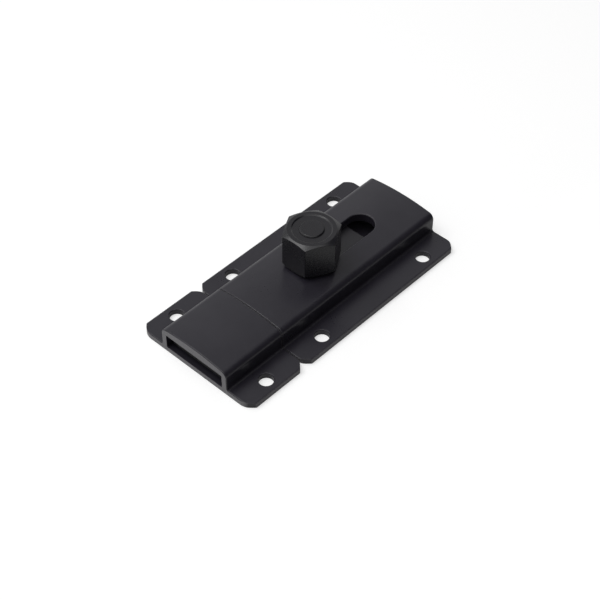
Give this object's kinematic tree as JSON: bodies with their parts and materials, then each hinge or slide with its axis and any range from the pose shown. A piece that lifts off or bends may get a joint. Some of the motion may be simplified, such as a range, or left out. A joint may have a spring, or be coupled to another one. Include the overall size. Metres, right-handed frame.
{
  "type": "door bolt",
  "caption": "Flat sliding door bolt: a bar with a hexagonal knob runs in a slotted housing with an arched roof and shoots into a short keeper of the same section, both with screw holes.",
  "frame": {"origin": "on the mounting face at the back of the plates, under the middle of their overall length and width", "axes": "+X along the bolt from the keeper to the housing, the way the bolt is drawn back; +Y across the plates; +Z out of the door"},
  "size_m": [0.12, 0.06, 0.0298],
  "materials": {
    "section": "black anodised extrusion, satin",
    "bar": "black coated steel, satin",
    "turned": "black coated steel, turned, satin"
  },
  "bodies": {
    "base": {"housing": "section", "keeper": "section"},
    "bolt": {"bolt_bar": "bar", "stem": "turned", "knob": "turned"}
  },
  "joints": [
    {"name": "bolt_slide", "type": "slide", "parent": "base", "child": "bolt", "axis": [1, 0, 0], "range_m": [0, 0.0297]}
  ]
}
